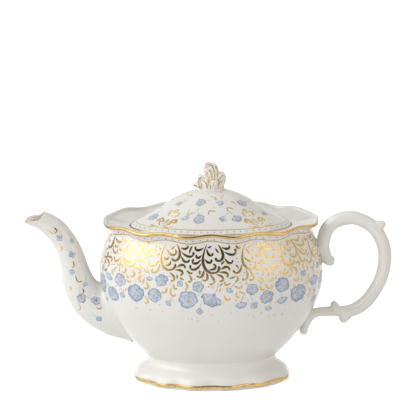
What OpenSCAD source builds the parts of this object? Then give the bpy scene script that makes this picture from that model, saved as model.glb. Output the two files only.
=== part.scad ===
// Footed oval china teapot with a scalloped rim, a lift-off lid and a leaf knob.
// The origin is the centre of the foot's base, +Z is up, +X points to the handle,
// -X to the spout. Every oval level is a ring [half length, half depth, height, growth,
// scallop in, scallop up], all in millimetres.

/* [Bowl] */
// Half length of the bowl at its fullest
belly_half = 87.7; // [78:0.5:95]
// Depth of the oval for each unit of its length
oval_ratio = 0.68; // [0.62:0.01:0.85]
// Height of the fullest level above the foot joint
belly_rise = 66; // [56:1:78]
// Height of the neck above the fullest level
shoulder_rise = 33.3; // [26:1:42]
// Half length of the bowl at the neck
neck_half = 79.6; // [74:0.2:82]
// Power of the bowl's curve: 1 is a cone, more is fuller
fullness = 1.95; // [1.5:0.05:2.3]
// Thickness of the ware
wall = 2.6; // [2.2:0.1:3.4]

/* [Rim and gallery] */
// Half length over the rim bead
rim_half = 85; // [82:0.2:90]
// Height of the bead's centre above the neck
collar_rise = 8.6; // [6.5:0.1:11]
// Radius of the rolled rim bead
bead_r = 1.5; // [1.3:0.1:2]
// Depth of the lid's seat below the bead's centre
seat_drop = 5.8; // [4.6:0.1:8]
// Width of the seat that carries the lid
seat_w = 6.2; // [4:0.1:8]
// Thickness of the gallery under the seat
gallery_t = 2.8; // [2.2:0.1:4]
// Number of scallops round the rim and the foot
scallops = 12; // [8:4:16]
// How far the rim's scallops swing in and out
rim_swing = 1; // [0:0.1:2.4]
// How far the rim's scallops rise and fall
rim_wave = 0.8; // [0:0.05:1.2]

/* [Foot] */
// Height of the foot joint above the table
foot_h = 19.9; // [16:0.1:26]
// Half length of the foot at its waist and joint
waist_half = 50.2; // [46:0.2:54]
// Height of the straight waist under the joint
waist_h = 4; // [2:0.2:6]
// Half length over the foot's flared edge
foot_half = 61.6; // [58:0.1:66]
// Half depth over the foot's flared edge
foot_deep = 43.4; // [40:0.1:48]
// Height of the middle of the foot's gilded edge
foot_edge_z = 3.5; // [2.6:0.1:5]
// Height of the foot's gilded edge band
foot_band = 2.6; // [1.6:0.1:3]
// How far the foot's scallops swing in and out
foot_swing = 1; // [0:0.1:2.2]
// How far the foot's scallops rise and fall
foot_wave = 0.15; // [0:0.05:1]
// Thickness of the foot's wall
foot_wall = 3.2; // [2.4:0.1:4.5]

/* [Lid] */
// Half length over the lid's edge
lid_half = 62.9; // [58:0.1:66]
// Half depth over the lid's edge
lid_deep = 36.5; // [32:0.1:39]
// Play round the lid in its gallery
lid_play = 0.6; // [0.4:0.1:1.2]
// Height of the lid's crown above its seat
crown_rise = 30.2; // [24:0.2:40]
// Height of the lid's edge band
lid_band = 2; // [1.4:0.1:3]
// Height of the lid's shoulder line above its seat
lid_shoulder_rise = 5.1; // [4:0.1:8]
// Distance of the lid's shoulder line from its edge
lid_shoulder_in = 4; // [2:0.1:6]
// Depth of the flange that keeps the lid in its place
flange_h = 11; // [6:0.5:16]
// Thickness of the lid
lid_wall = 2.4; // [2:0.1:3.2]
// Half length of the flat top under the knob
crown_half = 10.6; // [9:0.2:14]
// Bore of the steam hole in the lid
vent_d = 3; // [2:0.2:4]

/* [Knob] */
// Height of the leaf knob
knob_h = 21.6; // [17:0.2:28]
// Thickness of the knob's foot ring
knob_foot_h = 1.6; // [1:0.1:2.5]
// Reach of the longest leaf from the knob's middle
leaf_reach = 14.4; // [10:0.2:18]

/* [Spout] */
// Bore of the strainer's holes
strainer_d = 3.2; // [2.4:0.1:4]
// Spacing of the strainer's rings of holes
strainer_pitch = 6; // [5:0.2:7]
// Thickness of the spout's wall
spout_wall = 2; // [1.6:0.1:2.8]
// Height of the middle of the spout's root above the foot joint
spout_root_rise = 33; // [28:1:38]
// Height of the spout's root along the wall
spout_root_tall = 41.5; // [38:0.5:50]
// Width of the spout's root
spout_root_wide = 28; // [24:0.5:34]
// Reach of the spout's mouth beyond the fullest level
spout_reach = 52; // [46:0.5:64]
// Height of the mouth's middle above the foot joint
spout_rise = 111.2; // [98:1:124]
// Slope of the mouth's cut from level, in degrees
mouth_slope = 28; // [10:1:45]
// Thickness of the gilded lip
lip_band = 0.8; // [0.4:0.1:1.5]

/* [Handle] */
// Thickness of the handle's loop, seen from the side
handle_t = 10.8; // [9:0.2:13]
// Width of the handle's loop, across the pot
handle_w = 9.4; // [8:0.2:13]
// Reach of the loop's middle line beyond the fullest level
handle_reach = 47.8; // [42:0.5:60]
// Height of the loop's top above the foot joint
handle_top = 109.4; // [100:0.5:118]
// Height of the lower arm above the foot joint
handle_arm = 34; // [30:0.5:40]

/* [Fit] */
// Slip joint between pieces that are stuck together
joint_gap = 0.3; // [0.2:0.05:0.5]
// Thickness of the gilded layer on an edge
gilt_t = 0.3; // [0.2:0.05:0.5]
// Clearance between a gilded layer and the ware under it
gilt_gap = 0.06; // [0.04:0.01:0.1]

/* [Hidden] */

china = [0.94, 0.92, 0.88];
gold = [0.85, 0.65, 0.27];
facets = 72;
section_t = 0.05; // thickness of a swept piece's sections
bury = 6; // how far a stuck piece is drawn into the bowl before its root is trimmed

// Levels of the bowl
belly_z = foot_h + belly_rise;
neck_z = belly_z + shoulder_rise;
bead_z = neck_z + collar_rise;
seat_z = bead_z - seat_drop;
floor_z = foot_h + wall + 0.4;
crown_z = seat_z + crown_rise;

// Scallops: 1 at an inward cusp and -1 at an outward lobe, evenly spaced along the oval
scallop_skew = 90 / PI * (1 - oval_ratio) / (1 + oval_ratio);
function scallop(t) = cos(scallops * (t - scallop_skew * sin(2 * t) + 90));

// A point of a ring at angle t
function ring_point(ring, t) =
    let (wave = scallop(t), grow = ring[3] - ring[4] * wave)
    [(ring[0] + grow) * cos(t), (ring[1] + grow) * sin(t), ring[2] + ring[5] * wave];

// Half length of the bowl's outside at height z, up to the neck
function bowl_half(z) = z < belly_z
    ? belly_half - (belly_half - waist_half) * pow((belly_z - z) / belly_rise, fullness)
    : belly_half - (belly_half - neck_half) * pow((z - belly_z) / shoulder_rise, fullness);
// The wall's lean from upright at height z, in degrees
function wall_lean(z) = atan2(bowl_half(z + 0.5) - bowl_half(z - 0.5), 1);

function plain(half, z, grow = 0) = [half, half * oval_ratio, z, grow, 0, 0];
function scalloped(half, z, grow, share) =
    [half, half * oval_ratio, z, grow, rim_swing * share, rim_wave * share];
function lid_ring(z, grow) = [lid_half, lid_deep, z, grow, 0, 0];

// Closed skin over rings that run down the outside, or up it if rising; capped at both
// ends, or closed on itself; its corners can be shifted by a share of a facet
module oval_skin(list, closed = false, rising = false, shift = 0) {
    n = len(list);
    rings = rising ? [for (i = [n - 1:-1:0]) list[i]] : list;
    points = [for (ring = rings, s = [0:facets - 1]) ring_point(ring, (s + shift) * 360 / facets)];
    last = closed ? n - 1 : n - 2;
    sides = [for (i = [0:last], s = [0:facets - 1])
        let (j = (i + 1) % n, e = (s + 1) % facets,
             a = i * facets + s, b = i * facets + e, c = j * facets + e, d = j * facets + s)
        each [[a, b, c], [a, c, d]]];
    first_cap = [for (s = [facets - 1:-1:0]) s];
    last_cap = [for (s = [0:facets - 1]) (n - 1) * facets + s];
    polyhedron(points, closed ? sides : concat(sides, [first_cap, last_cap]));
}

// The bowl's outside as a solid, grown by a clearance, to trim what is stuck on it
module bowl_blank(grow) {
    steps = 12;
    oval_skin(concat(
        [scalloped(rim_half, bead_z + bead_r, grow, 1)],
        [scalloped(neck_half, neck_z + 2, grow, 0.4)],
        [for (i = [0:steps])
            let (z = neck_z + (foot_h - neck_z) * i / steps) plain(bowl_half(z), z, grow)],
        [plain(waist_half, foot_h - 3, grow)]), shift = 0.5);
}

// Bowl: foot joint up the outside, over the rim, down the gallery and the inside
bead_mid = rim_half - bead_r;
ware_bead = bead_r - gilt_t - gilt_gap;
lower_steps = 7;
upper_steps = 3;

// A ring of the dished gallery, a share u of the way in from the bead to the lid
function dish(u, share) =
    [bead_mid + (lid_half - bead_mid) * u,
     bead_mid * oval_ratio + (lid_deep - bead_mid * oval_ratio) * u,
     bead_z + (seat_z + lid_band - bead_z) * pow(u, 0.7), 0, rim_swing * share, rim_wave * share];

module bowl_shell() {
    outside = concat(
        [for (i = [0:lower_steps])
            let (z = foot_h + belly_rise * i / lower_steps) plain(bowl_half(z), z)],
        [for (i = [1:upper_steps])
            let (z = belly_z + shoulder_rise * i / upper_steps)
            scalloped(bowl_half(z), z, 0, 0.3 * pow(i / upper_steps, 3))],
        [scalloped(neck_half + 0.35 * (bead_mid - neck_half), neck_z + 0.55 * collar_rise, 0, 0.7)]);
    bead = [for (a = [-35:45:145])
        scalloped(bead_mid, bead_z + ware_bead * sin(a), ware_bead * cos(a), 1)];
    gallery = [
        scalloped(bead_mid, bead_z - 0.6 * bead_r, -bead_r - 0.9, 0.9),
        dish(0.4, 0.5),
        lid_ring(seat_z + lid_band, lid_play),
        lid_ring(seat_z, lid_play),
        lid_ring(seat_z, -seat_w),
        lid_ring(seat_z - gallery_t, -seat_w),
        plain(neck_half, seat_z - gallery_t - 2.4, -wall - 1)];
    inside = concat(
        [for (i = [upper_steps - 1:-1:1])
            let (z = belly_z + shoulder_rise * i / upper_steps) plain(bowl_half(z), z, -wall)],
        [for (i = [lower_steps:-1:1])
            let (z = floor_z + (belly_z - floor_z) * i / lower_steps)
            plain(bowl_half(z), z, -wall)],
        [plain(bowl_half(floor_z), floor_z, -wall - 2)]);
    oval_skin(concat(outside, bead, gallery, inside), rising = true);
}

// Strainer: holes drilled square to the wall behind the spout
root_z = foot_h + spout_root_rise;
root_x = bowl_half(root_z);
root_lean = wall_lean(root_z);

module strainer_holes() {
    translate([-root_x, 0, root_z])
        rotate([0, -90 - root_lean, 0])
            for (ring = [0:2], k = [0:max(0, 6 * ring - 1)])
                rotate([0, 0, ring == 0 ? 0 : k * 60 / ring])
                    translate([ring * strainer_pitch, 0, -bury])
                        cylinder(d = strainer_d, h = 2 * bury, $fn = 24);
}

module bowl() {
    color(china)
        difference() {
            bowl_shell();
            strainer_holes();
        }
}

// Foot: a flared ring with a scalloped edge over a plain base
edge_low = foot_edge_z - foot_band / 2;
edge_high = foot_edge_z + foot_band / 2;
function foot_edge(z, grow) = [foot_half, foot_deep, z, grow, foot_swing, foot_wave];
function foot_base(z, grow) = [foot_half, foot_deep, z, grow - foot_swing - 1.2, 0, 0];
function foot_flare(u, z) =
    [waist_half + (foot_half - waist_half) * u,
     waist_half * oval_ratio + (foot_deep - waist_half * oval_ratio) * u, z, 0, 0, 0];

module foot() {
    top = foot_h - joint_gap;
    waist_z = foot_h - waist_h;
    under = -gilt_t - gilt_gap;
    spare = 1;
    color(china)
        difference() {
            oval_skin([
                plain(waist_half, top),
                plain(waist_half, waist_z),
                foot_flare(0.22, waist_z - 0.3 * (waist_z - edge_high)),
                foot_edge(edge_high + 2.2, -2.2),
                foot_edge(edge_high, -0.4),
                foot_edge(edge_high - 0.2, under),
                foot_edge(edge_low + 0.2, under),
                foot_edge(edge_low, under - 0.6),
                foot_base(edge_low - foot_wave - 0.1, 0.6),
                foot_base(-spare, 0),
                foot_base(-spare, -foot_wall),
                foot_base(edge_high, -foot_wall - 0.6),
                plain(waist_half, waist_z, -foot_wall),
                plain(waist_half, top, -foot_wall)], closed = true);
            // The base is ground flat
            translate([-foot_half, -foot_deep, -2 * spare])
                cube([2 * foot_half, 2 * foot_deep, 2 * spare]);
        }
}

module foot_gilding() {
    color(gold)
        oval_skin([
            foot_edge(edge_high, -gilt_t),
            foot_edge(edge_high - 0.4, 0),
            foot_edge(edge_low + 0.4, 0),
            foot_edge(edge_low, -gilt_t),
            foot_edge(edge_low + 0.3, -gilt_t),
            foot_edge(edge_high - 0.3, -gilt_t)], closed = true);
}

module rim_gilding() {
    arc = [for (a = [-35:45:145]) a];
    color(gold)
        oval_skin(concat(
            [for (a = arc) scalloped(bead_mid, bead_z + bead_r * sin(a), bead_r * cos(a), 1)],
            [for (i = [len(arc) - 1:-1:0])
                scalloped(bead_mid, bead_z + (bead_r - gilt_t) * sin(arc[i]),
                          (bead_r - gilt_t) * cos(arc[i]), 1)]), closed = true, rising = true);
}

// Lid: shallow ogee dome with a flange
lid_floor = seat_z + joint_gap;
lid_top_steps = 6;
shoulder_z = seat_z + lid_shoulder_rise;
crown_deep = oval_ratio * crown_half + 0.6;
// The lid's outside a share u of the way in from the shoulder line to the crown, lowered
function lid_sweep(u) = u - 0.055 * sin(360 * u) + 0.065 * sin(180 * u);
function lid_level(u, drop) =
    [lid_half - lid_shoulder_in + (crown_half - lid_half + lid_shoulder_in) * u,
     lid_deep - lid_shoulder_in + (crown_deep - lid_deep + lid_shoulder_in) * u,
     shoulder_z - drop + (crown_z - shoulder_z) * lid_sweep(u), 0, 0, 0];

module lid() {
    under = -gilt_t - gilt_gap;
    flange_in = -seat_w - lid_play;
    color(china)
        difference() {
            oval_skin(concat(
                [for (i = [lid_top_steps:-1:0]) lid_level(i / lid_top_steps, 0)],
                [lid_ring(lid_floor + lid_band, -0.4),
                 lid_ring(lid_floor + lid_band - 0.3, under),
                 lid_ring(lid_floor + 0.4, under),
                 lid_ring(lid_floor, under - 0.4),
                 lid_ring(lid_floor, flange_in),
                 lid_ring(lid_floor - flange_h, flange_in - 0.8),
                 lid_ring(lid_floor - flange_h, flange_in - lid_wall),
                 lid_ring(lid_floor + 0.6, flange_in - lid_wall)],
                [for (i = [1:lid_top_steps]) lid_level(i / lid_top_steps, 1.2 * lid_wall)]));
            steam_hole();
        }
}

// Steam hole, at the back of the crown
module steam_hole() {
    translate([0, crown_deep + 7, crown_z - lid_wall * 4])
        cylinder(d = vent_d, h = lid_wall * 5, $fn = 24);
}

module lid_gilding() {
    color(gold)
        oval_skin([
            lid_ring(lid_floor + lid_band, -gilt_t),
            lid_ring(lid_floor + lid_band - 0.4, 0),
            lid_ring(lid_floor + 0.4, 0),
            lid_ring(lid_floor, -gilt_t),
            lid_ring(lid_floor + 0.3, -gilt_t),
            lid_ring(lid_floor + lid_band - 0.3, -gilt_t)], closed = true);
}

// Smooth route through rows of numbers: every number of a row is blended alike
function blend_rows(a, b, c, d, u) =
    0.5 * (2 * b + (c - a) * u + (2 * a - 5 * b + 4 * c - d) * u * u
           + (3 * b - a - 3 * c + d) * u * u * u);
function route(rows, steps) = let (n = len(rows) - 1)
    [for (i = [0:n - 1], k = [0:steps - 1])
        blend_rows(rows[max(i - 1, 0)], rows[i], rows[i + 1], rows[min(i + 2, n)], k / steps),
     rows[n]];
function heading(stations, i) =
    let (a = stations[max(i - 1, 0)], b = stations[min(i + 1, len(stations) - 1)])
    atan2(b[1] - a[1], b[0] - a[0]);

// Thin oval section of a station [x, z, tall, wide], square to the route
module section(station, angle, grow, sides) {
    translate([station[0], 0, station[1]])
        rotate([0, 90 - angle, 0])
            scale([station[2] / 2 + grow, station[3] / 2 + grow, 1])
                cylinder(r = 1, h = section_t, center = true, $fn = sides);
}
module sweep(stations, grow, sides, first = 0) {
    for (i = [first:len(stations) - 2])
        hull() {
            section(stations[i], heading(stations, i), grow, sides);
            section(stations[i + 1], heading(stations, i + 1), grow, sides);
        }
}

// Spout: rows of [reach beyond the belly, rise above the foot joint, tall, wide]
mouth_x = -belly_half - spout_reach;
mouth_z = foot_h + spout_rise;
spout_rows = [for (row = [
        [-34, -3.1, spout_root_tall - 1.5, spout_root_wide - 3],
        [-12.9, 2.1, spout_root_tall, spout_root_wide],
        [3.1, 7.3, 32.4, 0.93 * spout_root_wide],
        [11.9, 17, 27.6, 0.83 * spout_root_wide],
        [16.9, 27.7, 24, 20.8],
        [19.9, 39.5, 21.2, 18.8],
        [23.2, 51.1, 19.3, 17.6],
        [28.5, 61.1, 18, 17]])
        [-belly_half - row[0], root_z + row[1], row[2], row[3]]];
spout_line = route(concat(spout_rows,
    [[mouth_x + 17.1, mouth_z - 9.4, 17.6, 16.6],
     [mouth_x + 9.5, mouth_z - 3.9, 15.4, 16.3],
     [mouth_x + 2.1, mouth_z - 0.5, 14, 16.5],
     [mouth_x - 5.8, mouth_z + 2.8, 13.6, 16.8]]), 2);

module mouth_slab(low, high) {
    translate([mouth_x + 3, 0, mouth_z])
        rotate([0, -mouth_slope, 0])
            translate([-30, -20, low])
                cube([60, 40, high - low]);
}

module spout_tube() {
    difference() {
        sweep(spout_line, 0, 24);
        sweep(spout_line, -spout_wall, 24);
    }
}

module spout() {
    color(china)
        difference() {
            spout_tube();
            bowl_blank(joint_gap);
            mouth_slab(0, 40);
        }
}

module spout_gilding() {
    color(gold)
        intersection() {
            spout_tube();
            mouth_slab(gilt_gap, gilt_gap + lip_band);
        }
}

// Handle: rows of [beyond the belly, above the foot joint, tall, wide]
loop_x = belly_half + handle_reach;
arm_z = foot_h + handle_arm;
top_z = foot_h + handle_top;
curl_z = neck_z - 23;
handle_line = route([
    [bowl_half(curl_z) + 6.4, curl_z - 1.8, 8.4, 7.6],
    [bowl_half(curl_z + 7) + 2, curl_z + 6, 10, 8.4],
    [bowl_half(curl_z + 15) + 3.9, curl_z + 15.4, 11.2, 9],
    [belly_half + 4, top_z - 9.2, 11.2, 9.2],
    [belly_half + 9.2, top_z - 3.9, 11.4, handle_w],
    [belly_half + 17.6, top_z - 1, 11.6, handle_w],
    [loop_x - 21, top_z - 1.4, handle_t + 0.3, handle_w],
    [loop_x - 7.6, top_z - 9.4, handle_t + 0.2, handle_w],
    [loop_x + 0.4, top_z - 26, handle_t, handle_w],
    [loop_x - 0.9, arm_z + 30, handle_t, handle_w],
    [loop_x - 8.4, arm_z + 14, handle_t, handle_w],
    [loop_x - 18.4, arm_z + 3.2, handle_t, handle_w],
    [belly_half + 19, arm_z - 0.8, 10, 8.8],
    [belly_half + 7.6, arm_z - 0.4, 8.6, 8.4],
    [bowl_half(arm_z) + 0.2, arm_z - 2.2, 8, 8.4],
    [bowl_half(arm_z - 8) + 0.1, arm_z - 9.4, 8, 8],
    [bowl_half(arm_z - 15) + 3, arm_z - 17.2, 7.6, 7]], 2);

// A leaf or spur that grows from a station of the handle to a tip
module spur(from, to, base_d, tip_d) {
    hull() {
        translate([from[0], 0, from[1]]) sphere(d = base_d, $fn = 14);
        translate([to[0], 0, to[1]]) sphere(d = tip_d, $fn = 12);
    }
}

module handle() {
    first = handle_line[0];
    final = handle_line[len(handle_line) - 1];
    color(china)
        difference() {
            union() {
                sweep(handle_line, 0, 12);
                translate([first[0], 0, first[1]]) sphere(d = 8.4, $fn = 16);
                translate([final[0], 0, final[1]]) sphere(d = 7.2, $fn = 16);
                spur([loop_x - 7.6, top_z - 9.6], [loop_x, top_z - 4.6], 9.4, 3);
                spur([belly_half + 20.6, arm_z - 1.4], [belly_half + 13.4, arm_z - 9.6], 9.4, 5.6);
                spur([belly_half + 18.6, arm_z + 0.6], [belly_half + 8.6, arm_z + 6.2], 8, 4.4);
            }
            bowl_blank(joint_gap);
        }
}

// Knob: curled leaves round a plume, on a small foot ring; rows of [reach, rise, tall, wide]
knob_z = crown_z + joint_gap;
knob_scale = knob_h / 21.6;

module leaf(turn, points) {
    rotate([0, 0, turn])
        for (i = [0:len(points) - 2])
            hull() {
                leaf_section(points[i]);
                leaf_section(points[i + 1]);
            }
}
module leaf_section(p) {
    translate([p[0] * knob_scale, 0, knob_z + p[1] * knob_scale])
        scale([1, p[3] / p[2], 1])
            sphere(d = p[2] * knob_scale, $fn = 12);
}

module knob() {
    plume = [[0.6, 3, 13, 11], [1.2, 9, 12.6, 11], [0.4, 14.5, 13.8, 10.8], [-3.5, 12.4, 6.4, 7]];
    shoulder_leaf = [[6, 3, 9.8, 9], [7.9, 6.8, 8.6, 8.6], [8.4, 10, 7, 7.4], [10.5, 10.9, 2.8, 3]];
    reach = leaf_reach / knob_scale;
    low_leaf = [[3, 3.6, 7, 8], [7.4, 5.2, 7, 8.4], [reach - 3.6, 4.6, 5.4, 7.6],
        [reach - 2.1, 3.6, 4.2, 5]];
    high_leaf = [[3, 5, 7, 8], [6, 8.6, 6.4, 7], [7.9, 8.7, 4.6, 5]];
    side_leaf = [[2, 4, 7, 8], [5.4, 8, 6, 8], [7, 10.6, 4, 5.6], [8.4, 10, 2.6, 3]];
    color(china)
        difference() {
            union() {
                translate([0, 0, knob_z])
                    scale([crown_half - 0.6, crown_deep - 0.6, 1])
                        cylinder(r1 = 1, r2 = 0.9, h = knob_foot_h, $fn = 32);
                leaf(0, plume);
                leaf(4, shoulder_leaf);
                leaf(180, low_leaf);
                leaf(176, high_leaf);
                leaf(62, side_leaf);
                leaf(120, side_leaf);
                leaf(-60, side_leaf);
                leaf(-122, side_leaf);
            }
            translate([0, 0, knob_z - knob_h / 2])
                cube([4 * leaf_reach, 4 * leaf_reach, knob_h], center = true);
        }
}

bowl();
foot();
spout();
handle();
lid();
knob();
rim_gilding();
foot_gilding();
lid_gilding();
spout_gilding();
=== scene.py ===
import bpy, bmesh, random
from math import atan2, cos, degrees, hypot, pi, radians, sin
from mathutils import Matrix, Vector
from mathutils.bvhtree import BVHTree


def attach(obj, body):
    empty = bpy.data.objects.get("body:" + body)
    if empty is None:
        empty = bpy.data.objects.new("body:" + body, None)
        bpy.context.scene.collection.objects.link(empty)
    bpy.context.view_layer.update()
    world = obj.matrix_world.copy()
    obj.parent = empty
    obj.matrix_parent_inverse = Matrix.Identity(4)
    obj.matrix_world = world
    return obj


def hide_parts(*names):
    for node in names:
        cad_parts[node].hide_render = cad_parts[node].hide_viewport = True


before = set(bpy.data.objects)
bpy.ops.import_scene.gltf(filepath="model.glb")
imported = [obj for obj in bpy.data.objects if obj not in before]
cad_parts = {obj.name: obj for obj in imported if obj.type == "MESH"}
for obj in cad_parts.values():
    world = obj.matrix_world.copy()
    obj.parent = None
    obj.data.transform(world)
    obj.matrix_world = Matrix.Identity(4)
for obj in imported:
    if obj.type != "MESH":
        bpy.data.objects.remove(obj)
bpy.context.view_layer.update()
mm = 0.001
dice = random.Random(11)
between = dice.uniform
print("frame loaded")

def linkNew(name, data):
    thing = bpy.data.objects.new(name, data)
    bpy.context.collection.objects.link(thing)
    return thing

def meshOf(bm, name):  # the bmesh is freed
    mesh = bpy.data.meshes.new(name)
    bm.to_mesh(mesh)
    bm.free()
    return mesh

# camera
view = {"distance": 3.25, "elevation": 13.3, "roll": 0.42, "lens": 360, "look": (-0.0021, 0, 0.1372)}

def makeCamera():
    tilt, roll = radians(view["elevation"]), radians(view["roll"])
    forward = Vector((0, cos(tilt), -sin(tilt)))
    up, right = Vector((0, sin(tilt), cos(tilt))), Vector((1, 0, 0))
    turnedRight = right * cos(roll) - up * sin(roll)
    turnedUp = up * cos(roll) + right * sin(roll)
    camera = linkNew("camera", bpy.data.cameras.new("camera"))
    camera.data.lens, camera.data.sensor_width = view["lens"], 36
    place = Matrix((turnedRight, turnedUp, -forward)).transposed().to_4x4()
    place.translation = Vector(view["look"]) - forward * view["distance"]
    camera.matrix_world = place
    bpy.context.scene.camera = camera

makeCamera()
bpy.context.scene.view_settings.view_transform = "Standard"
print("camera made")

# finishes
chinaLook = {"light": (0.86, 0.825, 0.765), "deep": (0.83, 0.79, 0.725), "roughness": 0.16, "peel": 0.04}
goldLook = {"bright": (0.545, 0.365, 0.115), "worn": (0.40, 0.25, 0.065), "roughness": 0.22}
blueLook = {"edge": (0.20, 0.26, 0.39), "middle": (0.66, 0.70, 0.76), "heart": (0.12, 0.15, 0.23)}

def newMaterial(name):
    material = bpy.data.materials.new(name)
    material.use_nodes = True
    tree = material.node_tree
    return material, tree, tree.nodes["Principled BSDF"]

def addNode(tree, kind, **values):
    node = tree.nodes.new(kind)
    for key, value in values.items():
        if key in node.inputs:
            node.inputs[key].default_value = value
        else:
            setattr(node, key, value)
    return node

def setInputs(node, values):
    for key, value in values.items():
        node.inputs[key].default_value = value

def noiseOn(tree, scale, detail, roughness=0.5):
    noise = addNode(tree, "ShaderNodeTexNoise", Scale=scale, Detail=detail, Roughness=roughness)
    tree.links.new(addNode(tree, "ShaderNodeTexCoord").outputs["Object"], noise.inputs["Vector"])
    return noise.outputs["Fac"]

def tintFrom(tree, shader, source, stops):
    ramp = addNode(tree, "ShaderNodeValToRGB")
    elements = ramp.color_ramp.elements
    while len(elements) < len(stops):
        elements.new(0.5)
    for element, (position, colour) in zip(elements, stops):
        element.position, element.color = position, (*colour, 1)
    tree.links.new(source, ramp.inputs["Fac"])
    tree.links.new(ramp.outputs["Color"], shader.inputs["Base Color"])

def bumpFrom(tree, shader, source, strength, distance):
    bump = addNode(tree, "ShaderNodeBump", Strength=strength, Distance=distance)
    tree.links.new(source, bump.inputs["Height"])
    tree.links.new(bump.outputs["Normal"], shader.inputs["Normal"])

def rangeFrom(tree, source, low, high):
    remap = addNode(tree, "ShaderNodeMapRange")
    setInputs(remap, {"To Min": low, "To Max": high})
    tree.links.new(source, remap.inputs["Value"])
    return remap.outputs["Result"]

def roughFrom(tree, shader, source, low, high):
    tree.links.new(rangeFrom(tree, source, low, high), shader.inputs["Roughness"])

def glazedChina():
    material, tree, shader = newMaterial("glazedChina")
    cloud = noiseOn(tree, 22, 4)  # glaze a little thicker in places
    tintFrom(tree, shader, cloud, [(0.3, chinaLook["deep"]), (0.7, chinaLook["light"])])
    gloss = noiseOn(tree, 160, 2)
    roughFrom(tree, shader, gloss, chinaLook["roughness"] - 0.04, chinaLook["roughness"] + 0.05)
    peel = noiseOn(tree, 75, 2)  # orange peel of the fired glaze
    bumpFrom(tree, shader, peel, chinaLook["peel"], 0.002)
    setInputs(shader, {"IOR": 1.5, "Subsurface Weight": 0.12, "Subsurface Radius": (1.0, 0.8, 0.6),
                       "Subsurface Scale": 0.0015})
    return material

def burnishedGold():
    material, tree, shader = newMaterial("burnishedGold")
    wear = noiseOn(tree, 260, 5, 0.6)
    tintFrom(tree, shader, wear, [(0.3, goldLook["worn"]), (0.6, goldLook["bright"])])
    roughFrom(tree, shader, wear, goldLook["roughness"] + 0.12, goldLook["roughness"] - 0.06)
    bumpFrom(tree, shader, noiseOn(tree, 900, 3), 0.10, 0.0004)
    # the coat is a wiped, glassy surface that glares white
    setInputs(shader, {"Metallic": 1.0, "Coat Weight": 1.0, "Coat Roughness": 0.22})
    return material

def blueEnamel():
    material, tree, shader = newMaterial("blueEnamel")
    tone = addNode(tree, "ShaderNodeAttribute", attribute_name="tone")
    wash = noiseOn(tree, 620, 4, 0.65)  # watery brush marks
    mixed = addNode(tree, "ShaderNodeMath", operation="ADD", use_clamp=True)
    tree.links.new(tone.outputs["Fac"], mixed.inputs[0])
    tree.links.new(rangeFrom(tree, wash, -0.34, 0.34), mixed.inputs[1])
    tintFrom(tree, shader, mixed.outputs["Value"], [
        (0.0, blueLook["edge"]), (0.42, blueLook["middle"]), (1.0, blueLook["heart"])])
    roughFrom(tree, shader, wash, 0.16, 0.3)
    return material

china, gold, blue = glazedChina(), burnishedGold(), blueEnamel()
print("finishes made")

# skins: a line of points spun into a tube, each point then placed by its level and angle
def makeSkin(levels, sides, place, closed=False):
    bm = bmesh.new()
    line = [bm.verts.new((1, 0, index)) for index in range(levels)]
    for low, high in zip(line, line[1:]):
        bm.edges.new((low, high))
    if closed:
        bm.edges.new((line[-1], line[0]))
    bmesh.ops.spin(bm, geom=bm.verts[:] + bm.edges[:], cent=(0, 0, 0), axis=(0, 0, 1),
                   angle=2 * pi, steps=sides, use_merge=True)
    for vert in bm.verts:
        vert.co = Vector(place(round(vert.co.z), atan2(vert.co.y, vert.co.x))) * mm
    bmesh.ops.remove_doubles(bm, verts=bm.verts, dist=1e-7)
    bmesh.ops.recalc_face_normals(bm, faces=bm.faces)
    return bm

def finishPiece(bm, name, body, material, replaced=()):
    return dressPiece(linkNew(name, meshOf(bm, name)), body, material, replaced)

def dressPiece(piece, body, material, replaced):
    mesh = piece.data
    mesh.materials.clear()
    mesh.materials.append(material)
    mesh.shade_smooth()
    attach(piece, body)
    if replaced:
        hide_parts(*replaced)
    print("made", piece.name, len(mesh.polygons), "faces")
    return piece

def applyModifiers(piece):
    graph = bpy.context.evaluated_depsgraph_get()
    mesh = bpy.data.meshes.new_from_object(piece.evaluated_get(graph))
    piece.modifiers.clear()
    piece.data = mesh

def blendRows(rows, steps):  # smooth route through rows of numbers
    blended = []
    for i in range(len(rows) - 1):
        a, b, c, d = rows[max(i - 1, 0)], rows[i], rows[i + 1], rows[min(i + 2, len(rows) - 1)]
        for k in range(steps):
            u = k / steps
            blended.append([0.5 * (2 * q + (r - p) * u + (2 * p - 5 * q + 4 * r - s) * u * u
                                   + (3 * q - p - 3 * r + s) * u ** 3) for p, q, r, s in zip(a, b, c, d)])
    return blended + [list(rows[-1])]

# oval rings: half length, half depth, height, growth, scallop in, scallop up, in millimetres
pot = {
    "bellyHalf": 87.45, "ratio": 0.68, "bellyZ": 85.9, "bellyRise": 66, "neckHalf": 79.6, "neckZ": 119.2,
    "waistHalf": 50.2, "jointZ": 19.9, "fullness": 1.95, "wall": 2.6, "floorZ": 22.9, "beadZ": 127.8,
    "beadHalf": 83.5, "beadR": 1.5, "rimSwing": 1.0, "rimWave": 0.8, "backRise": 0.75, "lobes": 12,
    "collar": 7.95, "tuck": 2.8, "flare": 4.83, "dish": 3.8}
skew = 0.5 * (1 - pot["ratio"]) / (1 + pot["ratio"])

def scallopWave(t):
    return cos(pot["lobes"] * (t - skew * sin(2 * t) + pi / 2))

def ringPoint(ring, t):
    wave = scallopWave(t)
    grow = ring[3] - ring[4] * wave
    rise = ring[5] * wave * (1 + pot["backRise"] * max(0.0, sin(t)))
    return (ring[0] + grow) * cos(t), (ring[1] + grow) * sin(t), ring[2] + rise

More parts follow.
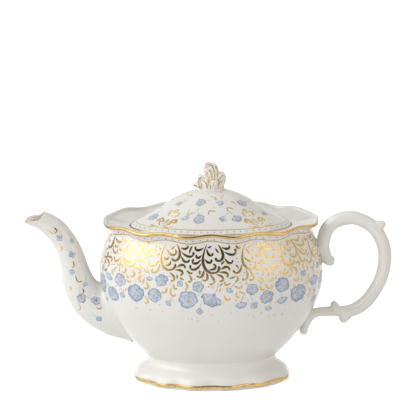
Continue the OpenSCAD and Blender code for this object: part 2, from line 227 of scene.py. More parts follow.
def bowlHalf(z):
    if z < pot["bellyZ"]:
        fall = (pot["bellyZ"] - z) / pot["bellyRise"]
        return pot["bellyHalf"] - (pot["bellyHalf"] - pot["waistHalf"]) * fall ** pot["fullness"]
    rise = (min(z, pot["neckZ"]) - pot["bellyZ"]) / (pot["neckZ"] - pot["bellyZ"])
    half = pot["bellyHalf"] - (pot["bellyHalf"] - pot["neckHalf"]) * rise ** pot["fullness"]
    flare = max(0.0, (z - pot["neckZ"]) / pot["collar"])  # the collar turns out to the bead
    return half - pot["tuck"] * flare * max(0.0, 1 - flare) ** 2 + pot["flare"] * flare ** 2.4

def ovalRing(half, z, grow=0.0, share=0.0):
    return half, half * pot["ratio"], z, grow, pot["rimSwing"] * share, pot["rimWave"] * share

def wallRing(z, grow):
    return ovalRing(bowlHalf(z), z, grow)

def outsideRing(z, grow=0.0):
    if z < pot["neckZ"]:
        share = 0.3 * max(0.0, (z - pot["bellyZ"]) / (pot["neckZ"] - pot["bellyZ"])) ** 3
    else:
        share = 0.3 + 0.7 * ((z - pot["neckZ"]) / pot["collar"]) ** 1.08
    return ovalRing(bowlHalf(z), z, grow, share)

facets = {"pot": 240, "lid": 216, "gold": 288, "lidGold": 240, "spout": 96, "knobRing": 96}

def skinOfRings(rings, sides, closed=False):
    return makeSkin(len(rings), sides, lambda level, t: ringPoint(rings[level], t), closed)

gildedBead = {"from": -72, "to": 74}

# lid and seat
cover = {
    "half": 62.9, "deep": 36.5, "play": 0.6, "seatZ": 122.0, "band": 2.0, "seatWidth": 6.2,
    "shoulderZ": 127.1, "shoulderIn": 4.0, "crownZ": 152.2, "crownHalf": 10.6, "crownDeep": 7.81,
    "wall": 2.4, "flange": 11.0, "vent": (0, 14.8, 147), "ventWide": 3.0, "ventDeep": 14}

def coverRing(z, grow):
    return cover["half"], cover["deep"], z, grow, 0, 0

# strainer: drilled square to the wall behind the spout
strainer = {"wide": 3.2, "deep": 12, "pitch": 6.0, "rootZ": 52.9, "rings": 2}

def addBore(cutters, wide, deep, place):
    radius = wide / 2 * mm
    bmesh.ops.create_cone(cutters, cap_ends=True, segments=24, radius1=radius, radius2=radius,
                          depth=deep * mm, matrix=place)

def drill(piece, cutters):
    cut = linkNew("cutter", meshOf(cutters, "cutter"))
    boolean = piece.modifiers.new("holes", "BOOLEAN")
    boolean.operation, boolean.object, boolean.solver = "DIFFERENCE", cut, "EXACT"
    applyModifiers(piece)
    bpy.data.objects.remove(cut)
    piece.data.shade_smooth()

def makeBowl():
    joint, neck, floor, seat = pot["jointZ"], pot["neckZ"], pot["floorZ"], cover["seatZ"]
    rings = [ovalRing(half, joint) for half in (0, 30, 48.5)]
    rings += [outsideRing(joint + (neck - joint) * i / 64) for i in range(65)]
    rings += [outsideRing(neck + pot["collar"] * i / 10) for i in range(1, 10)]
    for angle in range(-40, 159, 11):  # the bead, sunk where it is gilded
        rings.append(beadRing(angle, pot["beadR"] - (0.36 if angle < gildedBead["to"] - 6 else 0.04)))
    for i in range(25):  # the dished gallery round the lid
        u = 0.09 + 0.91 * i / 24
        share = 0.95 * (1 - u) ** 1.1
        rings.append((pot["beadHalf"] + (cover["half"] - pot["beadHalf"]) * u,
                      pot["beadHalf"] * pot["ratio"] * (1 - u) + cover["deep"] * u,
                      pot["beadZ"] - pot["dish"] * u ** 0.7, cover["play"] * u + (0.3 if i == 24 else 0),
                      pot["rimSwing"] * share, pot["rimWave"] * share))
    top = seat + cover["band"]
    rings += [coverRing(z, grow) for z, grow in (
        (top - 0.15, 0.7), (top - 0.4, 0.6), (seat + 0.3, 0.6), (seat + 0.08, 0.5), (seat, 0.25), (seat, -3),
        (seat, -5.8), (seat - 0.1, -6.1), (seat - 0.4, -6.2), (seat - 2.4, -6.2), (seat - 2.7, -6.0),
        (seat - 2.9, -5.6))]
    rings.append(ovalRing(pot["neckHalf"], seat - 4.4, -6.5))
    inside = [(115.5, 1)] + [(113 - 85 * i / 34, 0) for i in range(35)]
    inside += [(26.2, 0.3), (24.6, 1.1), (23.5, 2.8)]
    rings += [wallRing(z, -pot["wall"] - more) for z, more in inside]
    rings += [ovalRing(45, floor + 0.1)] + [ovalRing(half, floor) for half in (40, 20, 0)]
    bowl = finishPiece(skinOfRings(rings, facets["pot"]), "bowlWare", "pot", china, ("bowl",))
    cutters = bmesh.new()
    root = Vector((-bowlHalf(strainer["rootZ"]), 0, strainer["rootZ"]))
    lean = atan2(bowlHalf(root.z + 0.5) - bowlHalf(root.z - 0.5), 1)
    turn = Matrix.Rotation(-pi / 2 - lean, 4, "Y")
    for ring in range(strainer["rings"] + 1):
        for k in range(max(1, 6 * ring)):
            angle = radians(k * 60 / ring if ring else 0)
            out = Vector((cos(angle), sin(angle), 0)) * ring * strainer["pitch"]
            place = Matrix.Translation(root * mm) @ turn @ Matrix.Translation(out * mm)
            addBore(cutters, strainer["wide"], strainer["deep"], place)
    drill(bowl, cutters)

def beadRing(angle, radius):
    angle = radians(angle)
    return (pot["beadHalf"], pot["beadHalf"] * pot["ratio"], pot["beadZ"] + radius * sin(angle),
            radius * cos(angle), pot["rimSwing"], pot["rimWave"])

def makeBand(name, body, rings, sides, node):
    finishPiece(skinOfRings(rings, sides, True), name, body, gold, (node,))

def makeGildedBead():  # burnished outside, thinning to both edges
    full, low, high = pot["beadR"], gildedBead["from"], gildedBead["to"]
    step = (high - low) / 14
    rings = [beadRing(low, full - 0.3), beadRing(low + 0.4 * step, full - 0.06)]
    rings += [beadRing(low + step * i, full) for i in range(1, 14)]
    rings += [beadRing(high - 0.3 * step, full - 0.02), beadRing(high, full - 0.12)]
    rings += [beadRing(high - step * i * 2, full - 0.45) for i in range(8)]
    makeBand("rimGold", "pot", rings, facets["gold"], "rim_gilding")

makeBowl()
makeGildedBead()

# foot
stand = {"half": 61.6, "deep": 43.4, "edgeZ": 3.5, "band": 2.6, "swing": 1.0, "wave": 0.15, "wall": 3.2}

def footRing(half, z, share):  # between the waist and the scalloped edge
    u = (half - pot["waistHalf"]) / (stand["half"] - pot["waistHalf"])
    waistDeep = pot["waistHalf"] * pot["ratio"]
    deep = waistDeep + (stand["deep"] - waistDeep) * u
    return half, deep, z, 0, stand["swing"] * share, stand["wave"] * share

def edgeRing(z, grow, share=1.0):
    return stand["half"], stand["deep"], z, grow, stand["swing"] * share, stand["wave"] * share

def makeFoot():
    rows = [wallRing(22.6, 0.02), wallRing(21.7, 0.14), ovalRing(51.2, 20.75), ovalRing(50.55, 19.8),
            ovalRing(50.3, 18.6), ovalRing(50.25, 17.2)]
    rows += [footRing(*row) for row in (
        (50.9, 15.4, 0), (52.4, 13.7, 0), (54.6, 12.2, 0.1), (57.0, 10.6, 0.32), (59.0, 8.8, 0.62),
        (60.3, 6.9, 0.88), (61.0, 5.4, 1))]
    rings = [ovalRing(bowlHalf(22.6), 23.2, -1.2)] + [tuple(row) for row in blendRows(rows, 5)]
    high, low = stand["edgeZ"] + stand["band"] / 2, stand["edgeZ"] - stand["band"] / 2
    wall = stand["wall"]
    rings += [edgeRing(*row) for row in (
        (high, -0.42), (high - 0.3, -0.4), (low + 0.3, -0.4), (low, -0.5), (low - 0.35, -0.9),
        (1.3, -1.9, 0.5), (0.8, -2.5, 0.12), (0.25, -2.7, 0), (0, -3.0, 0), (0, -3.0 - wall + 0.5, 0),
        (0.3, -2.8 - wall, 0), (3.0, -3.1 - wall, 0), (7.5, -3.6 - wall, 0))]
    rings += [footRing(56, 10.0, 0)[:3] + (-3.4, 0, 0), ovalRing(51.2, 14.6, -3.3),
              ovalRing(50.2, 17.0, -3.2), ovalRing(50.2, 20.3, -3.2)]
    finishPiece(skinOfRings(rings, facets["pot"], True), "footWare", "pot", china, ("foot",))

def makeFootGold():
    outline = [(4.95, -0.46), (4.75, -0.2), (4.4, -0.06), (3.5, 0), (2.7, -0.07), (2.3, -0.24), (2.05, -0.56),
               (2.4, -0.55), (3.5, -0.5), (4.6, -0.52)]
    makeBand("footGold", "pot", [edgeRing(z, grow) for z, grow in outline], facets["gold"], "foot_gilding")

makeFoot()
makeFootGold()

# lid
def coverLevel(u, drop=0.0):
    sweep = u - 0.055 * sin(2 * pi * u) + 0.065 * sin(pi * u)
    half, deep = cover["half"] - cover["shoulderIn"], cover["deep"] - cover["shoulderIn"]
    return (half + (cover["crownHalf"] - half) * u, deep + (cover["crownDeep"] - deep) * u,
            cover["shoulderZ"] - drop + (cover["crownZ"] - cover["shoulderZ"]) * sweep, 0, 0, 0)

def makeLid():
    floor = cover["seatZ"] + 0.3
    inner = -cover["seatWidth"] - cover["play"]
    rings = [(0, 0, cover["crownZ"] - 0.1, 0, 0, 0), (5, 3.4, cover["crownZ"] - 0.05, 0, 0, 0)]
    rings += [coverLevel(1 - i / 48) for i in range(46)]
    brim = [coverLevel(0.06), coverLevel(0.0), coverRing(125.9, -2.2), coverRing(124.9, -0.9),
            coverRing(124.3, -0.42)]
    rings += [tuple(row) for row in blendRows(brim, 5)]
    rings += [coverRing(z, grow) for z, grow in (
        (124.0, -0.4), (122.8, -0.4), (122.5, -0.5), (floor, -0.8), (floor, -3), (floor, inner + 0.4),
        (floor - 0.4, inner), (floor - 9, inner - 0.7), (floor - 10.6, inner - 0.8),
        (floor - 10.95, inner - 1.1), (floor - cover["flange"], inner - 1.5), (floor - 10.9, inner - 2.1),
        (floor - 10.4, inner - 2.4), (floor - 5, inner - 2.4), (floor + 0.2, inner - 2.5),
        (floor + 1.0, inner - 3.0))]
    rings += [coverLevel(0.2 + 0.8 * i / 20, 1.2 * cover["wall"]) for i in range(21)]
    rings.append((0, 0, cover["crownZ"] - 1.2 * cover["wall"], 0, 0, 0))
    lid = finishPiece(skinOfRings(rings, facets["lid"]), "lidWare", "lid", china, ("lid",))
    vent = bmesh.new()
    addBore(vent, cover["ventWide"], cover["ventDeep"], Matrix.Translation(Vector(cover["vent"]) * mm))
    drill(lid, vent)

def makeLidGold():
    outline = [(124.45, -0.62), (124.3, -0.26), (124.0, -0.08), (123.3, 0), (122.8, -0.06), (122.5, -0.2),
               (122.36, -0.5), (122.7, -0.5), (124.0, -0.5)]
    makeBand("lidGold", "lid", [coverRing(z, grow) for z, grow in outline], facets["lidGold"], "lid_gilding")

makeLid()
makeLidGold()

# spout
pour = {
    # x, z, tall, wide
    "rows": [(-53.7, 49.8, 40, 25), (-74.8, 55.0, 41.5, 28), (-90.8, 60.2, 32.4, 26.0),
        (-99.6, 69.9, 27.6, 23.2), (-104.6, 80.6, 24, 20.8), (-107.6, 92.4, 21.2, 18.8),
        (-110.9, 104.0, 19.3, 17.6), (-116.2, 114.0, 18, 17), (-122.6, 121.7, 17.6, 16.6),
        (-130.2, 127.2, 15.4, 16.3), (-137.6, 130.6, 14, 16.5), (-145.5, 133.9, 13.6, 16.8)],
    "wall": 2.0, "fillet": 1.8,
    # the scooped lip line: x, z
    "lip": [(-150.0, 123.6), (-145.0, 127.3), (-142.6, 129.1), (-139.6, 130.2), (-136.0, 130.8),
        (-133.4, 131.9), (-131.0, 134.8), (-127.0, 140.0)],
    "inWall": -1.1}
tubeRows = blendRows(pour["rows"], 24)

def tubePoint(along, t, grow):  # a point of the spout, along 0 to 1
    place = min(max(along, 0), 0.99999) * (len(tubeRows) - 1)
    low = int(place)
    x, z, tall, wide = [p + (q - p) * (place - low) for p, q in zip(tubeRows[low], tubeRows[low + 1])]
    before, after = tubeRows[max(low - 3, 0)], tubeRows[min(low + 4, len(tubeRows) - 1)]
    heading = atan2(after[1] - before[1], after[0] - before[0])
    up, side = (tall / 2 + grow) * sin(t), (wide / 2 + grow) * cos(t)
    return Vector((x + up * sin(heading), side, z - up * cos(heading)))

def outsideBowl(point, grow=0.0):  # roughly how far a point is outside the bowl
    ring = outsideRing(min(max(point.z, 20), 127), grow)
    t = atan2(point.y / ring[1], point.x / ring[0])
    edge = ringPoint(ring, t)
    return hypot(point.x, point.y) - hypot(edge[0], edge[1])

lipLine = blendRows(pour["lip"], 8)

def aboveMouth(point, lift):  # how far a point is over the scooped lip line
    for (xa, za), (xb, zb) in zip(lipLine, lipLine[1:]):
        if point.x <= xb:
            break
    return (point.z - za - (zb - za) * (point.x - xa) / (xb - xa)) * 0.87 - lift

def crossing(test, low, high):
    for i in range(26):
        middle = (low + high) / 2
        low, high = (middle, high) if test(middle) < 0 else (low, middle)
    return (low + high) / 2

def spanOfTube(t, grow, lift=0.0):
    start = crossing(lambda s: outsideBowl(tubePoint(s, t, grow), pour["inWall"]), 0.02, 0.5)
    stop = crossing(lambda s: aboveMouth(tubePoint(s, t, grow), lift), 0.6, 0.999)
    return start, stop

def makeSpout():
    spans, count = {}, 90

    def place(level, t):
        key = round(t * 1e5)
        if key not in spans:
            spans[key] = ((spanOfTube(t, pour["fillet"])[0], spanOfTube(t, 0, -0.12)[1]),
                          spanOfTube(t, -pour["wall"], -0.12))
        outer, inner = spans[key]
        if level < count:
            along = outer[0] + (outer[1] - outer[0]) * level / (count - 1)
            root = max(0.0, 1 - (along - outer[0]) / 0.06)
            return tubePoint(along, t, pour["fillet"] * root ** 2.2)  # luted root, a little proud
        if level == count:  # rounded lip
            return (tubePoint(outer[1], t, -0.5) + tubePoint(inner[1], t, 0.5)) / 2 + Vector((0, 0, 0.06))
        along = inner[1] + (inner[0] - inner[1]) * (level - count - 1) / (count - 1)
        return tubePoint(along, t, -pour["wall"])

    skin = makeSkin(2 * count + 1, facets["spout"], place, True)
    finishPiece(skin, "spoutWare", "pot", china, ("spout",))

def makeSpoutGold():
    spans = {}
    outline = [(0.0, -0.62), (0.06, -0.3), (0.04, -0.02), (-0.2, 0.1), (-0.6, 0.12), (-0.95, 0.02),
               (-0.7, -0.25), (-0.3, -0.5)]

    def place(level, t):
        grow, lift = outline[level]
        key = (level, round(t * 1e5))
        if key not in spans:
            spans[key] = crossing(lambda s: aboveMouth(tubePoint(s, t, grow), lift), 0.6, 0.9999)
        return tubePoint(spans[key], t, grow)

    skin = makeSkin(len(outline), facets["spout"], place, True)
    finishPiece(skin, "spoutGold", "pot", gold, ("spout_gilding",))

makeSpout()
makeSpoutGold()

# handle and knob: swept forms melted into one body
def joinForm(bm, part):  # adds the part to the other bmesh
    mesh = meshOf(part, "part")
    bm.from_mesh(mesh)
    bpy.data.meshes.remove(mesh)

def sweptForm(bm, rows, sides, section, steps=8, turn=0.0, centre=(0, 0)):
    route = blendRows(rows, steps)
    levels = []
    for i, (x, z, tall, wide) in enumerate(route):
        before, after = route[max(i - 1, 0)], route[min(i + 1, len(route) - 1)]
        levels.append((x, z, tall / 2, wide / 2, atan2(after[1] - before[1], after[0] - before[0])))
    for end, sign in ((0, -1), (-1, 1)):  # rounded ends
        x, z, tall, wide, heading = levels[end]
        for k in range(1, 6):
            angle = k * pi / 10
            reach = sign * tall * 0.8 * sin(angle)
            level = (x + reach * cos(heading), z + reach * sin(heading),
                     tall * cos(angle), wide * cos(angle), heading)
            levels = [level] + levels if sign < 0 else levels + [level]

    def place(level, t):
        x, z, tall, wide, heading = levels[level]
        swell = section(t)
        out, side = tall * sin(t) * swell, wide * cos(t) * swell
        px, py = x - out * sin(heading), side
        return (centre[0] + px * cos(turn) - py * sin(turn),
                centre[1] + px * sin(turn) + py * cos(turn), z + out * cos(heading))

    joinForm(bm, makeSkin(len(levels), sides, place))

def meltForms(bm, name, voxel, passes):
    piece = linkNew(name, meshOf(bm, name))
    melt = piece.modifiers.new("melt", "REMESH")
    melt.mode, melt.voxel_size = "VOXEL", voxel * mm
    applyModifiers(piece)
    bm = bmesh.new()
    bm.from_mesh(piece.data)
    for i in range(passes):
        bmesh.ops.smooth_vert(bm, verts=bm.verts, factor=0.5, use_axis_x=True, use_axis_y=True,
                              use_axis_z=True)
    return piece, bm

def putBack(piece, bm):
    bmesh.ops.recalc_face_normals(bm, faces=bm.faces)
    bm.to_mesh(piece.data)
    bm.free()

grip = {
    # x, z, tall, wide
    "rows": [(89.4, 96.2, 7.8, 8.2), (87.6, 103.0, 9.8, 8.4), (88.2, 111.2, 11, 9),
        (90.9, 119.4, 11.2, 9.2), (96.6, 125.2, 11.4, 9.4), (105.3, 128.3, 11.6, 9.4),
        (114.5, 127.9, 11.1, 9.4), (127.9, 119.9, 11, 9.4), (135.7, 103.3, 10.8, 9.4),
        (134.5, 83.9, 10.8, 9.4), (127.0, 67.9, 10.8, 9.4), (117.1, 57.1, 10.8, 9.4),
        (106.7, 53.1, 10, 8.8), (95.3, 53.3, 8.2, 8.4), (83.4, 52.5, 7.6, 8.4), (78.2, 49.6, 7.6, 8.2),
        (74.9, 44.6, 6.8, 7.6), (73.2, 39.6, 6.2, 7.0)],
    # forms that grow out of the loop: tips, curls and rounded ends
    "spurs": [
        [(127.0, 118.8, 10.0, 8.8), (131.2, 121.4, 9.4, 8.4), (133.9, 122.8, 6.6, 6.8),
            (135.3, 123.6, 4.4, 5.4)],
        [(110.0, 54.4, 8.0, 8.4), (107.2, 51.4, 8.8, 8.8), (104.9, 48.6, 8.4, 8.6), (103.6, 46.6, 7.2, 7.8)],
        [(98.8, 53.5, 6.2, 7.6), (97.4, 56.2, 6.8, 8.0), (96.4, 58.4, 6.2, 8.0), (96.2, 59.3, 5.4, 7.4)],
        [(96.6, 59.2, 4.6, 9.0), (98.9, 56.6, 4.4, 10.3), (101.7, 52.6, 4.4, 10.4), (103.2, 48.0, 4.6, 9.4)],
        [(88.4, 103.4, 9.6, 8.4), (89.9, 97.8, 9.2, 8.6), (92.0, 94.6, 8.6, 8.8), (93.9, 94.1, 8.2, 8.6)],
        [(73.0, 39.0, 5.8, 6.8), (72.5, 37.6, 6.8, 7.0), (72.3, 37.2, 7.0, 7.2)]],
    "ridge": 1.6, "voxel": 0.55, "wallDepth": 1.2, "fillet": 0.8, "filletReach": 2.4}

def makeHandle():
    bm = bmesh.new()
    power = grip["ridge"]  # below 2 the section has a soft ridge down each side
    facet = lambda t: (abs(cos(t)) ** power + abs(sin(t)) ** power) ** (-1 / power)
    sweptForm(bm, grip["rows"], 32, facet)
    for spur in grip["spurs"]:
        sweptForm(bm, spur, 24, lambda t: 1)
    piece, bm = meltForms(bm, "handleWare", grip["voxel"], 6)
    bm.normal_update()
    for vert in bm.verts:
        point = vert.co / mm
        gap = outsideBowl(point)
        if gap < -grip["wallDepth"]:  # ends inside the bowl's wall
            flat = Vector((point.x, point.y, 0)).normalized()
            vert.co += flat * (-grip["wallDepth"] - gap) * mm
        elif gap < grip["filletReach"]:  # luted joint
            away = Vector((0, vert.normal.y, vert.normal.z))
            vert.co += away * grip["fillet"] * mm * (1 - max(gap, 0) / grip["filletReach"]) ** 2
    putBack(piece, bm)
    dressPiece(piece, "pot", china, ("handle",))

leaves = {
    "baseZ": 152.3, "voxel": 0.24, "footHalf": 11.0, "footDeep": 7.8,
    # azimuth, ribs, rib depth, rows of reach, rise, thick, wide
    "list": [
        (0, 12, 0.06, [(1.8, -1, 14, 12.4), (1.9, 4, 12, 11), (1.8, 9, 10.8, 10.4), (1.3, 13.2, 10, 10),
            (-0.4, 15.9, 9.0, 9.6), (-2.6, 16.6, 7.8, 9)]),
        (0, 10, 0.06, [(3.0, 8, 8.6, 9.8), (3.0, 13.2, 7.8, 9.6), (1.8, 16.2, 8.0, 9.6),
            (-1.0, 16.75, 7.8, 9.2), (-3.9, 16.1, 6.4, 8.4)]),
        (0, 10, 0.06, [(-2.2, 4.0, 7.2, 9.8), (-2.5, 8.4, 6.8, 9.4), (-2.7, 11.4, 5.6, 8.4)]),
        (0, 8, 0.05, [(3.4, 6, 7, 9), (5.0, 10.6, 5.4, 8.2), (7.2, 12.3, 3.8, 7), (9.2, 12.4, 2.6, 5.6)]),
        (2, 10, 0.07, [(5.2, -1, 10.4, 10), (5.9, 3.2, 8.6, 9.6), (7.3, 7.0, 8.8, 9), (9.1, 9.8, 6.2, 7.8),
            (10.0, 7.8, 4.6, 6.6), (10.2, 5.6, 3.4, 5.2)]),
        (180, 10, 0.07, [(4.4, -1, 11, 10), (5.4, 3.4, 9.4, 9.6), (6.2, 7.2, 7.8, 9), (7.2, 8.8, 5.4, 7.6),
            (8.2, 7.6, 3.8, 6)]),
        (180, 8, 0.05, [(6.4, 0.8, 7.4, 8), (9.0, 3.2, 6.6, 7.6), (11.2, 4.2, 4.6, 6.2),
            (12.6, 4.0, 2.8, 4.4)]),
        (58, 9, 0.07, [(2, -0.6, 9, 8.6), (4.2, 4.0, 7.6, 8.6), (5.6, 7.4, 5.8, 7.6), (6.8, 8.2, 4, 6),
            (7.6, 6.8, 2.8, 4.6)]),
        (118, 9, 0.07, [(2, -0.6, 9, 8.6), (4.0, 3.6, 7.6, 8.6), (5.4, 6.6, 5.8, 7.6), (6.6, 7.4, 4, 6),
            (7.4, 6.0, 2.8, 4.6)]),
        (-52, 9, 0.07, [(2.2, -0.6, 9, 8.4), (4.0, 3.2, 7.4, 8), (5.4, 6.0, 5.6, 7), (6.4, 6.8, 4, 5.8),
            (7.0, 5.4, 2.8, 4.4)]),
        (-122, 9, 0.07, [(2.2, -0.6, 9, 8.4), (4.0, 3.4, 7.4, 8), (5.4, 6.0, 5.4, 7), (6.4, 6.6, 3.8, 5.6),
            (7.0, 5.2, 2.8, 4.4)])],
    # raised flutes, front and back: distance from the middle plane, thickness, x and z along them
    "flutes": [
        (3.0, 2.5, [(-4.4, 171.0), (-3.2, 172.0), (-1.2, 172.2), (1.2, 171.0), (2.8, 168.0), (3.2, 163.6),
            (2.6, 159), (1.4, 154)]),
        (4.0, 2.6, [(-1.5, 168.6), (0.0, 167.0), (0.8, 164.4), (0.6, 160.6), (0.0, 156), (-0.6, 153)]),
        (4.2, 2.4, [(-4.0, 165.6), (-2.6, 163.8), (-1.8, 161.2), (-2.0, 157.8), (-2.8, 153.6)]),
        (4.4, 2.3, [(-5.6, 160.4), (-4.2, 159.4), (-2.9, 157.6), (-3.2, 154.4)]),
        (2.6, 2.0, [(3.2, 171.7), (4.3, 170.4), (5.1, 168.0), (5.4, 164), (4.6, 158)]),
        (3.2, 2.4, [(10.4, 164.6), (8.2, 163.8), (6.4, 161.2), (5.8, 157.4), (6.3, 153.6)]),
        (3.8, 2.0, [(8.2, 159.8), (7.0, 158.6), (5.9, 156.6)]),
        (3.4, 2.0, [(10.2, 157.2), (9.6, 155.2), (9.0, 153)]),
        (3.4, 2.3, [(-7.4, 163.2), (-9.2, 161.2), (-9.4, 157.8), (-8.4, 154.8), (-7.0, 152.6)]),
        (3.8, 2.0, [(-7.0, 158.2), (-7.8, 156.6), (-8.3, 155)]),
        (1.6, 1.9, [(-13.2, 156.6), (-11.8, 155.9), (-10.4, 154.8)])]}

def makeKnob():
    bm = bmesh.new()
    for azimuth, ribs, depth, rows in leaves["list"]:
        rows = [(x, leaves["baseZ"] + z, tall, wide) for x, z, tall, wide in rows]
        ribbed = lambda t: 1 + depth * (abs(cos(ribs * t / 2)) * 2 - 1.27)
        sweptForm(bm, rows, 120, ribbed, 8, radians(azimuth))
    for away, thick, line in leaves["flutes"]:
        rows = [(x, z, thick * (0.75 if i == 0 else 1), thick * 1.5) for i, (x, z) in enumerate(line)]
        for side in (-1, 1):
            sweptForm(bm, rows, 20, lambda t: 1, 6, 0, (0, side * away))
    piece, bm = meltForms(bm, "knobWare", leaves["voxel"], 2)
    base = leaves["baseZ"] * mm - 0.0001
    bmesh.ops.bisect_plane(bm, geom=bm.verts[:] + bm.edges[:] + bm.faces[:], plane_co=(0, 0, base),
                           plane_no=(0, 0, -1), clear_outer=True)
    bmesh.ops.holes_fill(bm, edges=[e for e in bm.edges if e.is_boundary])
    putBack(piece, bm)
    dressPiece(piece, "lid", china, ("knob",))
    half, deep, low = leaves["footHalf"], leaves["footDeep"], leaves["baseZ"] - 0.2
    rows = [(half + a, deep + b, low + c) for a, b, c in (
        (-half, -deep, 0), (-1, -1, 0), (0.5, 0.5, 0), (0.7, 0.7, 0.35), (0.2, 0.2, 0.8), (-0.6, -0.6, 1.2),
        (-1.6, -1.2, 1.7), (-3.2, -2, 2.3), (-half, -deep, 2.6))]
    rings = [tuple(row) + (0, 0, 0) for row in rows[:2] + blendRows(rows[2:], 4)]
    finishPiece(skinOfRings(rings, facets["knobRing"]), "knobRing", "lid", china)
    return piece

makeHandle()
knobPiece = makeKnob()

# painting: thin raised strokes, dots and petals laid on the glaze
gilt, enamel = {}, {}  # a list of small bmeshes for each painted piece

def brush(pieces, name):
    sheets = pieces.setdefault(name, [])
    if not sheets or len(sheets[-1].verts) > 1200:  # small sheets are quick to work on
        sheets.append(bmesh.new())
        sheets[-1].verts.layers.float.new("tone")
    return sheets[-1]

def phaseAngle(phase, lean):  # even steps round an oval
    t = phase
    for i in range(4):
        t = phase + lean * sin(2 * t)
    return t

wallRows = [(0.0, pot["neckZ"])]  # distance down the wall, height
while wallRows[-1][1] > 40:
    arc, z = wallRows[-1]
    wallRows.append((arc + hypot(1, 0.84 * (bowlHalf(z) - bowlHalf(z - 1))), z - 1))

def bowlSurface(phase, down):
    if down < 0:
        z = pot["neckZ"] - down * 0.9
    else:
        place = min(int(down), len(wallRows) - 2)
        while wallRows[place][0] > down:
            place -= 1
        (a, za), (b, zb) = wallRows[place], wallRows[place + 1]
        z = za + (zb - za) * (down - a) / (b - a)
    return Vector(ringPoint(outsideRing(z), phaseAngle(radians(phase), skew)))

lidLean = 0.145

def lidSurface(phase, inward):
    ring = coverLevel(inward) if inward >= 0 else coverRing(127.1 + 30 * inward, -4 - 40 * inward)
    return Vector(ringPoint(ring, phaseAngle(radians(phase), lidLean)))

spoutSurface = lambda along, bearing: tubePoint(along, radians(bearing), 0)

def spotAt(surface, u, v, heart, steps=(0.2, 0.2), flip=1, evenScale=None):
    scaleU = evenScale or (surface(u + steps[0], v) - surface(u - steps[0], v)).length / (2 * steps[0])
    scaleV = (surface(u, v + steps[1]) - surface(u, v - steps[1])).length / (2 * steps[1])
    spot = lambda x, y: surface(u + flip * x / scaleU, v + y / scaleV)
    across = lambda x, y: (spot(x + 0.3, y) - spot(x - 0.3, y)).cross(spot(x, y + 0.3) - spot(x, y - 0.3))
    base = spot(0, 0)
    outward = 1 if across(0, 0).dot(base - heart(base)) > 0 else -1

    def facing(x, y, wantNormal=True):  # point and normal, x across and y along, in millimetres
        return spot(x, y), (across(x, y) * outward).normalized() if wantNormal else None

    return facing

bowlHeart = lambda point: Vector((0, 0, point.z))
lidHeart = lambda point: Vector((point.x * 0.5, point.y * 0.5, point.z - 12))

profiles = {
    "leaf": [(0, 0), (0.03, 0.14), (0.14, 0.5), (0.4, 1), (0.75, 0.75), (0.93, 0.35), (1, 0)],
    "curl": [(0, 0), (0.03, 0.2), (0.16, 0.56), (0.42, 1.0), (0.62, 0.95), (0.82, 0.66), (0.91, 1.0),
        (0.97, 0.85), (1, 0)],
    "drop": [(0, 0), (0.3, 0.35), (0.65, 0.85), (0.82, 1), (0.94, 0.72), (1, 0)],
    "line": [(0, 0), (0.08, 0.9), (0.5, 1), (0.92, 0.9), (1, 0)]}

def profileWidth(profile, s):
    rows = profiles[profile]
    for (a, wa), (b, wb) in zip(rows, rows[1:]):
        if s <= b:
            return wa + (wb - wa) * (s - a) / (b - a)
    return 0.0

def addRibbon(pieces, where, stations, widths, height, tone=0.0):
    bm, count = brush(pieces, where), len(stations)
    tones = bm.verts.layers.float["tone"]
    for vert in bmesh.ops.create_grid(bm, x_segments=count - 1, y_segments=3, size=1)["verts"]:
        i = round((vert.co.x + 1) / 2 * (count - 1))
        j = round((vert.co.y + 1) / 2 * 3) % 3
        point, normal = stations[i]
        tangent = stations[min(i + 1, count - 1)][0] - stations[max(i - 1, 0)][0]
        side = tangent.cross(normal).normalized() * widths[i] / 2
        lift = height * min(1.0, widths[i]) if j == 1 else -0.03
        vert.co = (point + (side * (j - 1) if j != 1 else Vector()) + normal * lift) * mm
        vert[tones] = tone

def strokePath(stroke):  # x, y and width along a stroke laid out on the flat
    x, y, heading, length, bend, curl, width, profile = stroke
    steps = max(5, min(16, round(length / 2 + abs(curl) / 30)))
    path, last = [], 0.0
    for i in range(steps + 1):
        s = 1 - (1 - i / steps) ** 1.35  # closer steps where it curls
        turn = radians(heading + bend * length * (s + last) / 2 + curl * ((s + last) / 2) ** 3.2)
        x += sin(turn) * (s - last) * length
        y += cos(turn) * (s - last) * length
        path.append((x, y, width * profileWidth(profile, s)))
        last = s
    return path

def addStroke(pieces, where, facing, stroke, mirrored=1, origin=(0, 0), height=0.08, tone=0.0):
    path = strokePath(stroke)
    stations = [facing(origin[0] + mirrored * x, origin[1] + y) for x, y, width in path]
    addRibbon(pieces, where, stations, [width for x, y, width in path], height, tone)

def addDot(pieces, where, point, normal, radius, height, tone):
    bm = brush(pieces, where)
    level = Vector((0, 0, 1)).cross(normal)
    level = level.normalized() if level.length > 0.2 else Vector((1, 0, 0))
    slope, tones = normal.cross(level), bm.verts.layers.float["tone"]
    for vert in bmesh.ops.create_icosphere(bm, subdivisions=1, radius=1)["verts"]:
        x, y, z = vert.co
        vert.co = (point + (level * x + slope * y) * radius + normal * z * height) * mm
        vert[tones] = tone

def dotAt(pieces, where, facing, x, y, radius, height=0.12, tone=0.4):
    point, normal = facing(x, y)
    addDot(pieces, where, point, normal, radius, height, tone)

